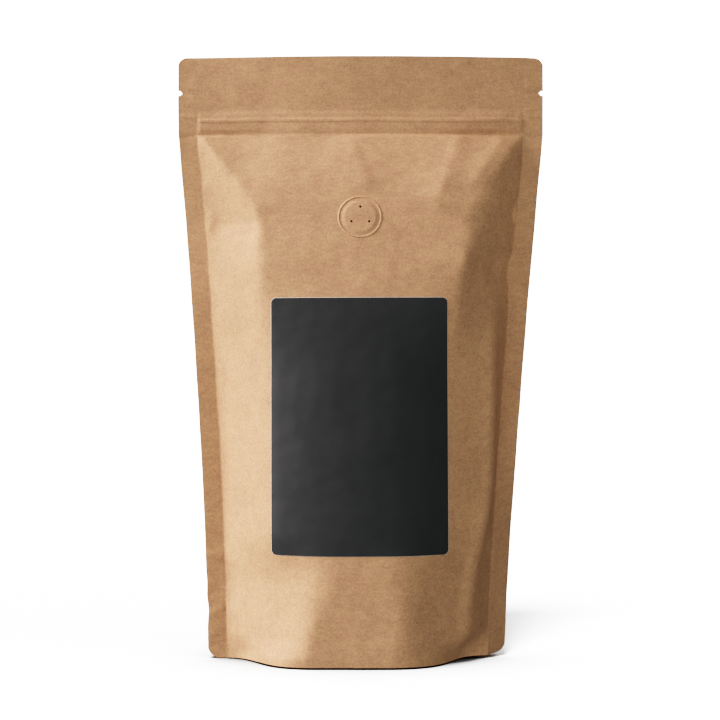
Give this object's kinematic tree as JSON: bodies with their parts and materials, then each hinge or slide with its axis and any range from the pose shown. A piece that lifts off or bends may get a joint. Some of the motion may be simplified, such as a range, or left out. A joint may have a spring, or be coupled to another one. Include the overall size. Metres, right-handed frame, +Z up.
{
  "type": "coffee bag",
  "caption": "Filled stand-up kraft paper coffee pouch with welded side seals, a folded base, a closed zip strip, a blank black label and a round gas valve.",
  "frame": {"origin": "centre of the pouch's outer box, on the floor it stands on", "axes": "+Z up to the top edge, -Y out of the front with the label, +X to the right as seen from the front"},
  "size_m": [0.16, 0.073, 0.2633],
  "materials": {
    "kraft": "matt brown kraft paper laminated to film, with fine fibres and a faint mottle",
    "label": "satin black coated paper"
  },
  "bodies": {
    "root": {"pouch": "kraft", "valve": "kraft", "label": "label"}
  },
  "joints": []
}
